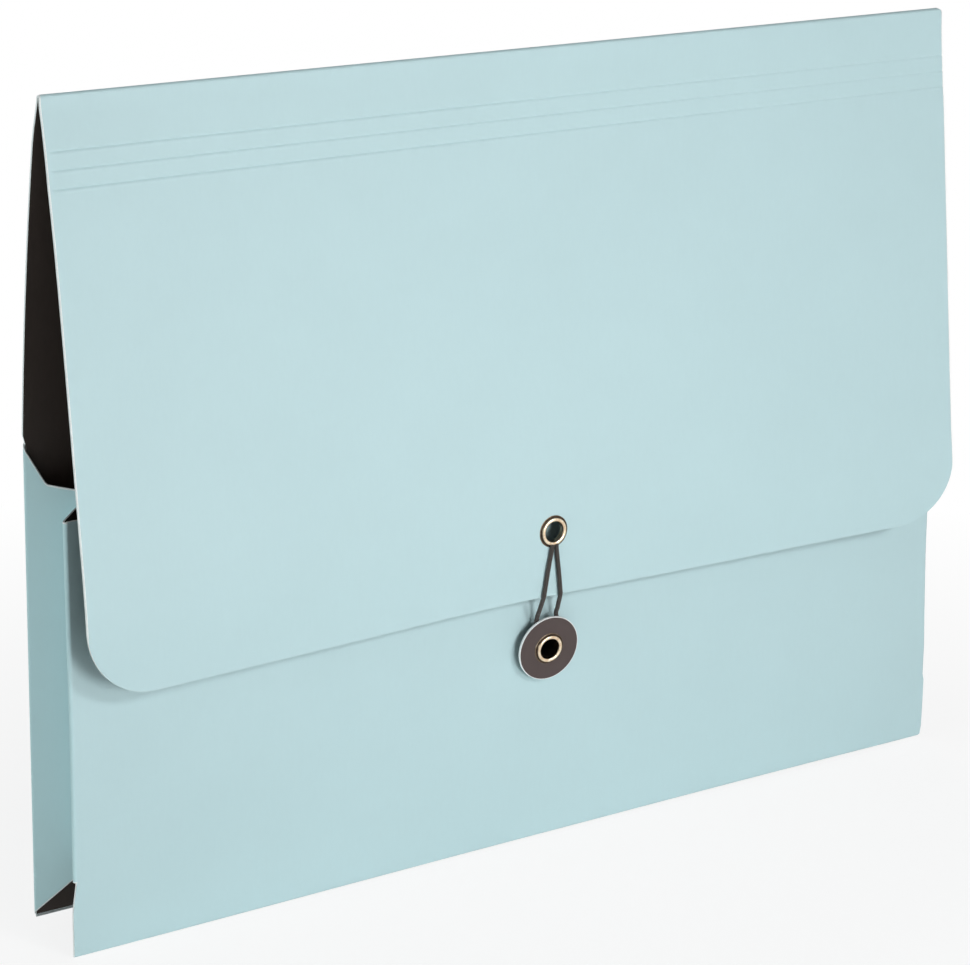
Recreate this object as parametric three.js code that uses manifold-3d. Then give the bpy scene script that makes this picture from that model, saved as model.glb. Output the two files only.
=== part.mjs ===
// Expanding project folder: one folded card with side and bottom gussets, an elastic loop and a card button.
// Millimetres, +Z up, +Y towards the back panel. The origin is the bottom centre of the whole folder.
import * as THREE from "three";
import { mergeVertices } from "three/addons/utils/BufferGeometryUtils.js";
import Module from "manifold-3d";

const wasm = await Module();
wasm.setup();

// Driving dimensions: the card
const width = 298.5;
const card = 0.8;
const frontHeight = 123;
const foldTop = 232.5;
const depthAtBase = 26.4;
const depthAtGussetTop = 24;
const edgeInset = 0.5;
const foldRadius = 0.9;
const topFoldRadius = 1.9;
const topFoldY = 8.4;
const bendStart = 137;
const backLean = 0.19;

// Driving dimensions: the flap
const flapEdgeZ = 76;
const flapCorner = 20;
const flapLean = 0.124;
const flapCentreY = -6.2;
const pullHeight = 44;
const leftBow = 4.1;
const leftCurl = 1.2;
const rightCurl = 3.2;
const scoreFirst = 14;
const scorePitch = 4.7;
const scoreCount = 3;
const scoreDepth = 0.25;
const scoreHalf = 0.5;

// Driving dimensions: the gussets
const gussetHalf = 19;
const gussetTab = 11;
const gussetFrontLow = 21;
const gussetFrontTop = 122.7;
const gussetCreaseLow = 20;
const gussetCreaseTop = 125;
const gussetChamferY = 3.6;
const gussetChamferZ = 127;
const bottomHalf = 19;
const bottomCutBack = 18;

// Driving dimensions: the closure
const closureX = 150;
const gap = 0.3;
const eyeletZ = 95.8;
const eyeletRim = 4.5;
const eyeletBore = 2.6;
const eyeletWall = 0.3;
const buttonZ = 59.8;
const buttonRadius = 10;
const buttonCard = 1.2;
const buttonStand = 3.4;
const buttonTilt = 5.6;
const buttonTwist = -2.3;
const rivetRim = 4.1;
const rivetBore = 2.5;
const elasticRadius = 0.75;
const strandsAtRim = 1.1;
const strandsAtEdge = 2.9;

// Smooth step from 0 to 1 as t goes from 0 to 1.
const ease = (t) => {
  const u = Math.min(1, Math.max(0, t));
  return u * u * (3 - 2 * u);
};

// Depth between the outer faces of the front and back panels at a height.
const depthAt = (z) =>
  depthAtBase + ((depthAtGussetTop - depthAtBase) * z) / bendStart;

// The closed mesh as a manifold solid, and the solid as a mesh.
function solidOf(geometry) {
  const bare = geometry.clone();
  bare.deleteAttribute("normal");
  bare.deleteAttribute("uv");
  const merged = mergeVertices(bare, 1e-5);
  return new wasm.Manifold(
    new wasm.Mesh({
      numProp: 3,
      vertProperties: new Float32Array(merged.attributes.position.array),
      triVerts: new Uint32Array(merged.index.array),
    }),
  );
}

function geometryOf(solid) {
  const mesh = solid.getMesh();
  const geometry = new THREE.BufferGeometry();
  geometry.setAttribute(
    "position",
    new THREE.BufferAttribute(new Float32Array(mesh.vertProperties), 3),
  );
  geometry.setIndex(new THREE.BufferAttribute(new Uint32Array(mesh.triVerts), 1));
  geometry.computeVertexNormals();
  return geometry;
}

// A triangle index list for a closed shell of two facing grids, rows by columns, joined round their rims.
function shellGeometry(outer, inner) {
  const rows = outer.length;
  const columns = outer[0].length;
  const positions = [];
  for (const grid of [outer, inner])
    for (const row of grid) for (const point of row) positions.push(...point);
  const at = (side, row, column) => (side * rows + row) * columns + column;
  const index = [];
  const quad = (a, b, c, d) => index.push(a, c, b, a, d, c);
  for (let r = 0; r < rows - 1; r++)
    for (let c = 0; c < columns - 1; c++) {
      quad(at(0, r, c), at(0, r, c + 1), at(0, r + 1, c + 1), at(0, r + 1, c));
      quad(at(1, r, c), at(1, r + 1, c), at(1, r + 1, c + 1), at(1, r, c + 1));
    }
  for (let c = 0; c < columns - 1; c++) {
    quad(at(1, 0, c), at(1, 0, c + 1), at(0, 0, c + 1), at(0, 0, c));
    quad(at(0, rows - 1, c), at(0, rows - 1, c + 1), at(1, rows - 1, c + 1), at(1, rows - 1, c));
  }
  for (let r = 0; r < rows - 1; r++) {
    quad(at(0, r, 0), at(0, r + 1, 0), at(1, r + 1, 0), at(1, r, 0));
    quad(at(1, r, columns - 1), at(1, r + 1, columns - 1), at(0, r + 1, columns - 1), at(0, r, columns - 1));
  }
  const geometry = new THREE.BufferGeometry();
  geometry.setAttribute("position", new THREE.Float32BufferAttribute(positions, 3));
  geometry.setIndex(index);
  return geometry;
}

// Points set a wall's thickness to the right of a path, mitred at its corners.
function offsetRight(path, wall) {
  return path.map((point, i) => {
    const before = path[Math.max(0, i - 1)];
    const after = path[Math.min(path.length - 1, i + 1)];
    const a = new THREE.Vector2(point.x - before.x, point.y - before.y);
    const b = new THREE.Vector2(after.x - point.x, after.y - point.y);
    if (i === 0) a.copy(b);
    if (i === path.length - 1) b.copy(a);
    a.normalize();
    b.normalize();
    const mitre = wall / (1 + a.dot(b));
    return new THREE.Vector2(
      point.x + (a.y + b.y) * mitre,
      point.y - (a.x + b.x) * mitre,
    );
  });
}

// Points along a circular arc between two angles in degrees, both ends included.
function arc(centreX, centreY, radius, fromAngle, toAngle, steps) {
  const points = [];
  for (let i = 0; i <= steps; i++) {
    const angle = THREE.MathUtils.degToRad(fromAngle + ((toAngle - fromAngle) * i) / steps);
    points.push(
      new THREE.Vector2(centreX + radius * Math.cos(angle), centreY + radius * Math.sin(angle)),
    );
  }
  return points;
}

// The flap's front face: it hangs down from the fold, leans out below the score lines and is drawn in at its
// edge by the elastic, while its left side bows out and both lower corners curl forward.
const lastScoreZ = foldTop - scoreFirst - scorePitch * (scoreCount - 1);
const flapRootY = topFoldY - topFoldRadius;
function flapY(x, z) {
  const across = x / width;
  const leaning = flapRootY - flapLean * Math.max(0, lastScoreZ - z);
  const pulled = ease((flapEdgeZ + pullHeight - z) / pullHeight);
  const middle = leaning + (flapCentreY - leaning) * pulled;
  const low = ease((flapEdgeZ + pullHeight * 0.75 - z) / (pullHeight * 0.75));
  const bow = leftBow * ease((foldTop - 4 - z) / 46) + leftCurl * low;
  return middle - bow * (1 - across) ** 2.5 - rightCurl * low * across ** 8;
}

// The flap's lower edge, straight with a rounded corner at each end.
function flapEdgeAt(x) {
  const inward = Math.min(x - edgeInset, width - edgeInset - x);
  const past = Math.max(0, flapCorner - inward);
  return flapEdgeZ + flapCorner - Math.sqrt(Math.max(0, flapCorner ** 2 - past ** 2));
}

// The card's outer face in the plane across x, from the flap's edge over the top fold, down the back,
// up and down the bottom gusset and up the front panel.
const bottomCrest = Math.sqrt(bottomHalf ** 2 - (depthAtBase / 2) ** 2);
function sheetPath(x) {
  const path = [];
  const depths = [];
  const add = (y, z, depth = 0) => {
    path.push(new THREE.Vector2(y, z));
    depths.push(depth);
  };
  const edge = flapEdgeAt(x);
  const flapTop = lastScoreZ - 2 * scoreHalf;
  const flapRows = 9;
  for (let i = 0; i <= flapRows; i++) {
    const z = edge + ((flapTop - edge) * i) / flapRows;
    add(flapY(x, z), z);
  }
  for (let i = scoreCount - 1; i >= 0; i--) {
    const z = foldTop - scoreFirst - scorePitch * i;
    add(flapY(x, z - scoreHalf), z - scoreHalf);
    add(flapY(x, z), z, scoreDepth);
    add(flapY(x, z + scoreHalf), z + scoreHalf);
  }
  const foldCentreZ = foldTop - topFoldRadius;
  for (const p of arc(topFoldY, foldCentreZ, topFoldRadius, 180, 0, 8)) add(p.x, p.y);
  const bend = new THREE.QuadraticBezierCurve(
    new THREE.Vector2(topFoldY + topFoldRadius, foldCentreZ - 2),
    new THREE.Vector2(
      depthAtGussetTop,
      foldCentreZ - 2 - (depthAtGussetTop - topFoldY - topFoldRadius) / backLean,
    ),
    new THREE.Vector2(depthAtGussetTop, bendStart),
  );
  for (const p of bend.getPoints(8)) add(p.x, p.y);
  add(depthAtBase, 0);
  add(depthAtBase / 2, bottomCrest);
  add(0, 0);
  add(0, frontHeight);
  return { path, depths };
}

// The columns across the sheet: close together round the flap's corners and wide apart between.
function columnsAcross() {
  const left = edgeInset;
  const right = width - edgeInset;
  const corner = [0, 0.6, 2.2, 5, 9, 14, flapCorner];
  const columns = corner.map((d) => left + d);
  const middle = 8;
  for (let i = 1; i < middle; i++)
    columns.push(left + flapCorner + ((right - left - 2 * flapCorner) * i) / middle);
  for (const d of corner.slice().reverse()) columns.push(right - d);
  return columns;
}

function sheetSolid() {
  const columns = columnsAcross();
  const outer = [];
  const inner = [];
  for (const x of columns) {
    const { path, depths } = sheetPath(x);
    const back = offsetRight(path, card);
    outer.push(
      path.map((p, i) => {
        const inward = back[i].clone().sub(p).normalize().multiplyScalar(depths[i]);
        return [x, p.x + inward.x, p.y + inward.y];
      }),
    );
    inner.push(back.map((p) => [x, p.x, p.y]));
  }
  return solidOf(shellGeometry(outer, inner));
}

// A prism that runs along X, from a list of corners in Y and Z.
function prismAlongX(corners, fromX, toX) {
  const shape = new THREE.Shape(corners.map(([y, z]) => new THREE.Vector2(y, z)));
  const geometry = new THREE.ExtrudeGeometry(shape, { depth: toX - fromX, bevelEnabled: false });
  geometry.applyMatrix4(
    new THREE.Matrix4().makeBasis(
      new THREE.Vector3(0, 1, 0),
      new THREE.Vector3(0, 0, 1),
      new THREE.Vector3(1, 0, 0),
    ),
  );
  geometry.translate(fromX, 0, 0);
  return solidOf(geometry);
}

// One side gusset's outline seen from above at a given depth between the panels: a tab behind the front panel,
// a round fold, the crease, a round fold and a tab on the back panel.
function gussetOutline(depth) {
  const clear = card + gap;
  const inside = depth / 2 - clear;
  const creaseX = Math.sqrt(gussetHalf ** 2 - inside ** 2);
  const slope = THREE.MathUtils.radToDeg(Math.atan2(inside - foldRadius, creaseX - foldRadius));
  const front = arc(foldRadius, clear + foldRadius, foldRadius, -90, -270 + slope, 7);
  const rear = front.map((p) => new THREE.Vector2(p.x, depth - p.y)).reverse();
  const face = [...front, new THREE.Vector2(creaseX, depth / 2), ...rear];
  const outer = [new THREE.Vector2(gussetTab, clear), ...face, new THREE.Vector2(gussetTab, depth - clear)];
  return { outer, inner: offsetRight(outer, card) };
}

// The gusset as a wall between two levels, cut above and below by its own sloping edges.
function leftGussetSolid() {
  const low = -2;
  const high = gussetChamferZ + 20;
  const levels = [low, high].map((z) => ({ z, ...gussetOutline(depthAt(z)) }));
  const grid = (side) =>
    levels.map((level) => level[side].map((p) => [p.x, p.y, level.z]));
  const wall = solidOf(shellGeometry(grid("outer"), grid("inner")));
  const rearChamfer = depthAtGussetTop - gussetChamferY;
  const steep = (2 * gussetHalf) / depthAtBase;
  const window = prismAlongX(
    [
      [-5, gussetFrontLow],
      [depthAtBase / 2, gussetCreaseLow],
      [depthAtBase + 5, gussetCreaseLow - (depthAtBase / 2 + 5) * steep],
      [depthAtBase + 5, gussetChamferZ + (depthAtBase + 5 - rearChamfer) * 2.6],
      [rearChamfer, gussetChamferZ],
      [depthAtBase / 2, gussetCreaseTop],
      [0, gussetFrontTop],
      [-5, gussetFrontTop],
    ],
    -5,
    gussetHalf + 5,
  );
  return wall.intersect(window);
}

// A cylinder about an axis that starts along -Y and is turned by the given matrix.
function cylinderSolid(radius, length, matrix) {
  const geometry = new THREE.CylinderGeometry(radius, radius, length, 32);
  geometry.applyMatrix4(matrix);
  return solidOf(geometry);
}

const eyeletMatrix = new THREE.Matrix4().makeTranslation(
  closureX,
  flapY(closureX, eyeletZ),
  eyeletZ,
);
const buttonMatrix = new THREE.Matrix4()
  .makeTranslation(closureX, -buttonStand, buttonZ)
  .multiply(new THREE.Matrix4().makeRotationZ(THREE.MathUtils.degToRad(buttonTwist)))
  .multiply(new THREE.Matrix4().makeRotationX(THREE.MathUtils.degToRad(buttonTilt)));

const eyeletBarrel = eyeletBore + eyeletWall;
const rivetBarrel = rivetBore + eyeletWall;

// The folded card: the sheet with its bottom gusset cut back at both ends and its two closure holes.
function cardGeometry() {
  const bite = card * 0.06;
  const cutTop = bottomCrest + 2;
  const endCut = [
    [card - bite, -1],
    [depthAt(0) - card + bite, -1],
    [depthAt(cutTop) - card + bite, cutTop],
    [card - bite, cutTop],
  ];
  return geometryOf(
    sheetSolid()
      .subtract(prismAlongX(endCut, -1, bottomCutBack))
      .subtract(prismAlongX(endCut, width - bottomCutBack, width + 1))
      .subtract(cylinderSolid(eyeletBarrel + gap, 4, eyeletMatrix))
      .subtract(cylinderSolid(rivetBarrel + 2 * gap, 4 * buttonStand, buttonMatrix)),
  );
}

// The right gusset is the left one mirrored across the folder's middle.
function mirrored(geometry) {
  const copy = geometry.clone();
  copy.applyMatrix4(new THREE.Matrix4().makeScale(-1, 1, 1));
  copy.translate(width, 0, 0);
  const order = copy.index.array;
  for (let i = 0; i < order.length; i += 3) {
    const second = order[i + 1];
    order[i + 1] = order[i + 2];
    order[i + 2] = second;
  }
  copy.computeVertexNormals();
  return copy;
}

// A ring turned about the closure's own axis, from a closed outline of radius and height in front of the card.
function ringGeometry(outline, matrix) {
  const points = outline.map(([radius, ahead]) => new THREE.Vector2(radius, -ahead));
  points.push(points[0].clone());
  const geometry = new THREE.LatheGeometry(points, 40);
  geometry.applyMatrix4(matrix);
  const solid = solidOf(geometry);
  if (solid.volume() > 0) return geometryOf(solid);
  const turned = new THREE.LatheGeometry(points.slice().reverse(), 40);
  turned.applyMatrix4(matrix);
  return geometryOf(solidOf(turned));
}

// An eyelet: a barrel with a rolled rim in front of what it holds and a flat spread rim behind it.
function eyeletOutline(rim, bore, front, back) {
  const roll = 0.8;
  const crown = [0.15, 0.4, 0.7, 1].map((t) => {
    const angle = Math.PI * t;
    const middle = (rim + bore) / 2;
    return [middle + ((rim - bore) / 2) * Math.cos(angle), front + roll * Math.sin(angle)];
  });
  return [
    [bore + eyeletWall, front],
    [rim - 0.1, front],
    ...crown,
    [bore, front],
    [bore, back - eyeletWall],
    [rim - 0.4, back - eyeletWall],
    [rim - 0.4, back],
    [bore + eyeletWall, back],
  ];
}

function buttonGeometry() {
  const half = buttonCard / 2;
  const bore = rivetBarrel + gap;
  const round = 0.15;
  return ringGeometry(
    [
      [bore, -half],
      [buttonRadius - round, -half],
      [buttonRadius, -half + round],
      [buttonRadius, half - round],
      [buttonRadius - round, half],
      [bore, half],
    ],
    buttonMatrix,
  );
}

// The elastic: from under the eyelet's rim down the flap, round its edge and behind the button about the rivet.
function elasticGeometry() {
  const lift = elasticRadius + gap;
  const onFlap = (x, z) => new THREE.Vector3(x, flapY(x, z) - lift, z);
  const turn = rivetBarrel + gap + elasticRadius;
  const behind = buttonCard / 2 + gap + elasticRadius;
  const atButton = (x, up) => new THREE.Vector3(x, behind, up).applyMatrix4(buttonMatrix);
  const start = eyeletZ - eyeletRim - gap;
  const side = (sign) => [
    onFlap(closureX + sign * strandsAtRim, start),
    onFlap(closureX + sign * (strandsAtRim + strandsAtEdge) * 0.5, (start + flapEdgeZ) / 2),
    onFlap(closureX + sign * strandsAtEdge * 0.93, flapEdgeZ + 1.5),
    new THREE.Vector3(closureX + sign * strandsAtEdge, flapY(closureX, flapEdgeZ) - lift + 0.1, flapEdgeZ - 0.2),
    new THREE.Vector3(closureX + sign * (strandsAtEdge + 0.2), flapY(closureX, flapEdgeZ) + 0.9, flapEdgeZ - 2.2),
    atButton(sign * turn * 0.93, buttonRadius + 0.2),
    atButton(sign * turn * 0.98, 4.5),
  ];
  const round = [0, 30, 60, 90, 120, 150, 180].map((degrees) => {
    const angle = THREE.MathUtils.degToRad(degrees);
    return atButton(-turn * Math.cos(angle), -turn * Math.sin(angle));
  });
  const route = new THREE.CatmullRomCurve3([...side(-1), ...round, ...side(1).reverse()]);
  const sides = 8;
  const section = new THREE.Shape(
    Array.from({ length: sides }, (_, i) => {
      const angle = (2 * Math.PI * (i + 0.5)) / sides;
      return new THREE.Vector2(elasticRadius * Math.cos(angle), elasticRadius * Math.sin(angle));
    }),
  );
  return new THREE.ExtrudeGeometry(section, { steps: 72, bevelEnabled: false, extrudePath: route });
}

function finish(color, roughness, metalness = 0) {
  return new THREE.MeshStandardMaterial({ color, roughness, metalness });
}

const cardBlue = finish(0xc4dcdf, 0.75);
const cardBrown = finish(0x4d4340, 0.8);
const brass = finish(0xc98f52, 0.3, 1);
const elasticBrown = finish(0x3a2f2d, 0.85);

const folder = new THREE.Group();
function place(name, geometry, material) {
  const mesh = new THREE.Mesh(geometry, material);
  mesh.name = name;
  folder.add(mesh);
}

place("folded_card", cardGeometry(), cardBlue);
const gussetGeometry = geometryOf(leftGussetSolid());
place("left_gusset", gussetGeometry, cardBlue);
place("right_gusset", mirrored(gussetGeometry), cardBlue);
const eyeletFront = gap;
const eyeletBack = -card - 2 * gap;
place(
  "flap_eyelet",
  ringGeometry(eyeletOutline(eyeletRim, eyeletBore, eyeletFront, eyeletBack), eyeletMatrix),
  brass,
);
place("button_disc", buttonGeometry(), cardBrown);
const rivetFront = buttonCard / 2 + gap;
const rivetBack = -buttonStand - card - 3 * gap;
place(
  "button_eyelet",
  ringGeometry(eyeletOutline(rivetRim, rivetBore, rivetFront, rivetBack), buttonMatrix),
  brass,
);
place("elastic_loop", elasticGeometry(), elasticBrown);

// The origin goes to the bottom centre of everything.
const bounds = new THREE.Box3().setFromObject(folder);
folder.children.forEach((mesh) =>
  mesh.geometry.translate(
    -(bounds.min.x + bounds.max.x) / 2,
    -(bounds.min.y + bounds.max.y) / 2,
    -bounds.min.z,
  ),
);

export default folder;
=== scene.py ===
"""Expanding project folder: the looks of its card, gussets, eyelets, card button and elastic loop."""

import math

import bpy
import numpy as np
from mathutils import Matrix, Vector


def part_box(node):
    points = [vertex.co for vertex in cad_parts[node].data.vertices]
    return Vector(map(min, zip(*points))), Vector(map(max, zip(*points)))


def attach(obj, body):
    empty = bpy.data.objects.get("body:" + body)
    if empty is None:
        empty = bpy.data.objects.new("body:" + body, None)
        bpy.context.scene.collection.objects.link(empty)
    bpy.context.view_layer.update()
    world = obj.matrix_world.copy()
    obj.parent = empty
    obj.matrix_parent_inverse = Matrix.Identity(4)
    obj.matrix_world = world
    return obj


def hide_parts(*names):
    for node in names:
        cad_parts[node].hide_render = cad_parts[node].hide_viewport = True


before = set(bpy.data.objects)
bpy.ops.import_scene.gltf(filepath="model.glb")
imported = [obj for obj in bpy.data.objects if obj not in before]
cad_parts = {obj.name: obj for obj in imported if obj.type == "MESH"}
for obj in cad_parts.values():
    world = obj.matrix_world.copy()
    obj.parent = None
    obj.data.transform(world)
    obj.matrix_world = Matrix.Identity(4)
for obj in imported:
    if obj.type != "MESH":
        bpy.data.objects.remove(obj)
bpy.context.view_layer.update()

# Sizes in millimetres, in the folder's own axes: x from its left fold, y back from its front face, z up
MM = 0.001
WIDTH = 298.5
CARD = 0.8
DEPTH_BASE = 26.4
DEPTH_GUSSET = 24.0
EDGE_INSET = 0.5
FOLD_RADIUS = 0.9

# Top fold and back: where the back bends, how far it stands out over the gussets, its lifted left corner
FOLD_TOP = 232.5
TOP_FOLD_RADIUS = 1.0
TOP_FOLD_Y = 8.8
TOP_CORNER_LEFT = 0.5
TOP_CORNER_RIGHT = 1.5
BEND_START = 137.0
BACK_BEND = (20.2, 183.0)
BACK_BEND_TOP = (0.1, 0.6)
BACK_OVERHANG = 0.6
BACK_OVERHANG_DROP = 12.0
BACK_LIFT = 0.9
BACK_LIFT_END_X = 60.0
BACK_LIFT_WIDTH = 40.0

# Flap: its lean, the stretch that the elastic draws in, the bow of its left side and its curled corners
FLAP_EDGE_Z = 76.0
FLAP_CORNER = 20.0
FLAP_ROOT_Y = 6.5
FLAP_LEAN = 0.124
FLAP_CENTRE_Y = -6.2
PULL_HEIGHT = 44.0
CURL_HEIGHT = 33.0
LEFT_BOW = 4.1
LEFT_BOW_START = 3.5
LEFT_BOW_REACH = 20.0
LEFT_BOW_POWER = 2.5
LEFT_CURL = 1.2
RIGHT_CURL = 3.2
RIGHT_CURL_POWER = 8
CLOSURE_DENT = 1.0
DENT_REACH = 55.0
DENT_TOP = 130.0
DENT_FADE = 50.0

# Flap's lower edge and right side: the arch about the closure, the rise from the left, the drift outwards
EDGE_ARCH = 1.0
EDGE_ARCH_X = 125.0
EDGE_ARCH_REACH = 55.0
EDGE_RISE = 0.3
EDGE_RISE_WIDTH = 60.0
FLAP_RIGHT_INSET = 0.45
FLAP_RIGHT_DRIFT = 1.3
FLAP_DRIFT_START = 3.0
FLAP_DRIFT_HEIGHT = 28.0

# Score lines under the top fold: a groove with a low swell under it, fainter to the right
SCORE_FIRST = 14.0
SCORE_PITCH = 4.7
SCORE_COUNT = 3
SCORE_DEPTH = 0.20
SCORE_REACH = 0.28
SWELL_HEIGHT = 0.10
SWELL_DROP = 0.62
SWELL_REACH = 0.36
SCORE_INSET = 0.6
SCORE_START_WIDTH = 2.0
SCORE_FADE = 0.5
SCORE_FADE_START = 0.45
SCORE_FADE_WIDTH = 0.5
SCORE_ROOM_BELOW = 4.0
SCORE_ROOM_ABOVE = 2.5

# Front panel: its lower corners, the level of its foot, and heights with the shift back at each
FRONT_HEIGHT = 123.0
FRONT_FACE_Y = 1.0
FOOT_CORNER = 2.0
CORNER_FLARE = 1.05
CORNER_FLARE_HEIGHT = 9.0
FRONT_SETTLE = 0.7
FRONT_SETTLE_LEAST = 0.35
FRONT_SETTLE_WIDTH = 150.0
FRONT_RISE = 0.6
FRONT_RISE_X = 165.0
FRONT_RISE_WIDTH = 110.0
FOOT_LIFT_HEIGHT = 40.0
FLAT_SHARE = 0.6
LEFT_SHIFT_Z = (0, 6, 13, 22, 43, 62, 83, 123)
LEFT_SHIFT = (-0.3, -0.3, -0.3, -0.4, -0.9, -1.2, -0.9, -0.5)
RIGHT_SHIFT_Z = (0, 12, 31, 47, 62, 75, 123)
RIGHT_SHIFT = (-1.4, -1.4, -1.1, 0.0, 0.9, 1.3, 1.3)

# Side gussets: the tab's places inside the front panel, and the lower and upper edge at the front fold, the
# crease and the rear fold. The chamfer is where the upper edge turns up: in from the rear fold, and height
GUSSET_HALF = 19.0
GUSSET_TAB_X = (6.0, 2.5)
GUSSET_TAB_Y = (0.3, 0.25)
GUSSET_BULGE = 0.5
GUSSET_WALL = CARD - 0.25
GUSSET_FRONT = (21.2, 122.9)
GUSSET_CREASE = (20.4, 125.3)
GUSSET_CHAMFER = (6.5, 127.3)
GUSSET_REAR = (1.8, 138.0)

# Bottom gusset, and the spaces cut out of its two ends
BOTTOM_HALF = 19.0
FOOT_ARC_SHORT = 4
BOTTOM_CUT_BACK = 18.0
BOTTOM_CUT_ROOM = 2.0
BOTTOM_CUT_FRONT = 0.7

# Closure: flap eyelet, card button and the eyelet that clamps it
EYELET_X = 149.1
EYELET_Z = 96.8
EYELET_RIM = 4.75
EYELET_BORE = 3.0
EYELET_HOLE_ROOM = 0.45
EYELET_HOLE_LENGTH = 6.0
BUTTON_X = 150.6
BUTTON_Z = 60.1
BUTTON_RADIUS = 9.85
BUTTON_CARD = 0.8
BUTTON_STAND = 3.4
BUTTON_TILT = 5.6
BUTTON_TWIST = -2.3
RIVET_RIM = 4.75
RIVET_BORE = 3.05
RIVET_HOLE_ROOM = 0.9
RIVET_NECK_WALL = 0.6
HOLE_SIDES = 48
DISC_SIDES = 144
EYELET_SIDES = 112

# Elastic: its gap behind the button, its route's spread at the eyelet and at the flap's edge, and its braid
BUTTON_GAP = 0.3
ELASTIC_RADIUS = 0.65
ELASTIC_LIFT = 0.08
STRAND_LEAN = 0.55
SPREAD_AT_EYELET = 0.86
SPREAD_AT_EDGE = 2.9
EDGE_CROSSING_SHIFT = 0.1
BRAID_PITCH = 3.2
BRAID_STRANDS = 4
BRAID_BODY = 0.94
BRAID_RELIEF = 0.07
CORD_RINGS = 1500
CORD_SIDES = 32

# Slow ripple of the card: depths, the distances in which its waves turn by one radian, the heights over
# which it grows from the foot and from the top, and how fast it grows from the sides
RIPPLE = 0.10
RIPPLE_RADIAN_X = 31.0
RIPPLE_RADIAN_Z = 27.0
RIPPLE_START = 1.3
SLANT_RIPPLE = 0.06
SLANT_RADIAN_X = 13.0
SLANT_RADIAN_Z = 19.0
RIPPLE_FADE = 30.0
RIPPLE_SIDE_RATE = 12.0

# Share of the half width, from the middle, at which the side insets start, and the share in which they grow
SIDE_BAND_START = 0.9
SIDE_BAND = 0.1

# Angles in degrees past which an edge is drawn sharp
CARD_SHARP = 40
FITTING_SHARP = 50

# How many points each stretch of the sheet and of a gusset has, down it or across it
CORNER_COLUMNS = 26
MIDDLE_COLUMNS = 96
FLAP_ROWS = 40
SCORE_ROWS = 110
ROOT_ROWS = 8
TOP_FOLD_ROWS = 22
BEND_ROWS = 28
BACK_ROWS = 22
FOOT_ROWS = 10
CREST_ROWS = 8
FRONT_ROWS = 40
GUSSET_ROWS = 68
GUSSET_FOLD_COLUMNS = 14
GUSSET_HALF_COLUMNS = 26

# Distances in from a cut edge at which the card's face has its rows, and the share of the wall that the
# face is crushed in there: at the sheet's two ends, on the columns in from its sides, and at a gusset's two
# edges, whose distances are the same times a scale
EDGE_STEPS = np.array([0.0, 0.05, 0.11, 0.18])
EDGE_CRUSH = np.array([0.10, 0.0, 0.0, 0.0])
SIDE_CRUSH = np.array([0.10, 0.06, 0.02, 0.0])
GUSSET_CRUSH = np.array([0.14, 0.06, 0.02, 0.0])
GUSSET_STEP_SCALE = 2.2

LAST_SCORE_Z = FOLD_TOP - SCORE_FIRST - SCORE_PITCH * (SCORE_COUNT - 1)
BOTTOM_CREST = math.sqrt(BOTTOM_HALF**2 - (DEPTH_BASE / 2) ** 2)

low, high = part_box("folded_card")
FOLDER_LEFT = low[0] / MM - EDGE_INSET
FOLDER_FRONT = high[1] / MM - DEPTH_BASE


def to_frame(points):
    """Folder millimetres to the frame's metres: each point moved by the folder's corner and scaled."""
    return (np.asarray(points, float) + (FOLDER_LEFT, FOLDER_FRONT, 0.0)) * MM


def ease(t):
    """Smooth step: 3u squared less 2u cubed, with u held between 0 and 1."""
    u = np.clip(t, 0.0, 1.0)
    return u * u * (3.0 - 2.0 * u)


def bell(value, centre, reach):
    """Bell curve: e to the power of minus the square of the distance from the centre over the reach."""
    return np.exp(-(((value - centre) / reach) ** 2))


# Meshes


def mesh_object(name, points, quads, slots, materials, body="root"):
    """A mesh piece from its points, its four-cornered faces and the material number of each face."""
    points = to_frame(points).reshape(-1, 3)
    mesh = bpy.data.meshes.new(name)
    mesh.vertices.add(len(points))
    mesh.vertices.foreach_set("co", points.astype(np.float32).ravel())
    mesh.loops.add(quads.size)
    mesh.loops.foreach_set("vertex_index", quads.astype(np.int32).ravel())
    mesh.polygons.add(len(quads))
    mesh.polygons.foreach_set("loop_start", np.arange(0, quads.size, 4, dtype=np.int32))
    mesh.polygons.foreach_set("material_index", np.asarray(slots, np.int32))
    mesh.polygons.foreach_set("use_smooth", np.ones(len(quads), bool))
    mesh.update(calc_edges=True)
    for material in materials:
        mesh.materials.append(material)
    piece = bpy.data.objects.new(name, mesh)
    bpy.context.scene.collection.objects.link(piece)
    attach(piece, body)
    return piece


def grid_quads(rows, columns, start=0, close_rows=False, close_columns=False):
    """The faces of a grid of rows by columns, numbered row by row, joined round where it is closed."""
    r = np.arange(rows if close_rows else rows - 1)[:, None]
    c = np.arange(columns if close_columns else columns - 1)[None, :]
    next_r = (r + 1) % rows
    next_c = (c + 1) % columns
    corners = [r * columns + c, next_r * columns + c, next_r * columns + next_c, r * columns + next_c]
    return np.stack(np.broadcast_arrays(*corners), axis=-1).reshape(-1, 4) + start


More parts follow.
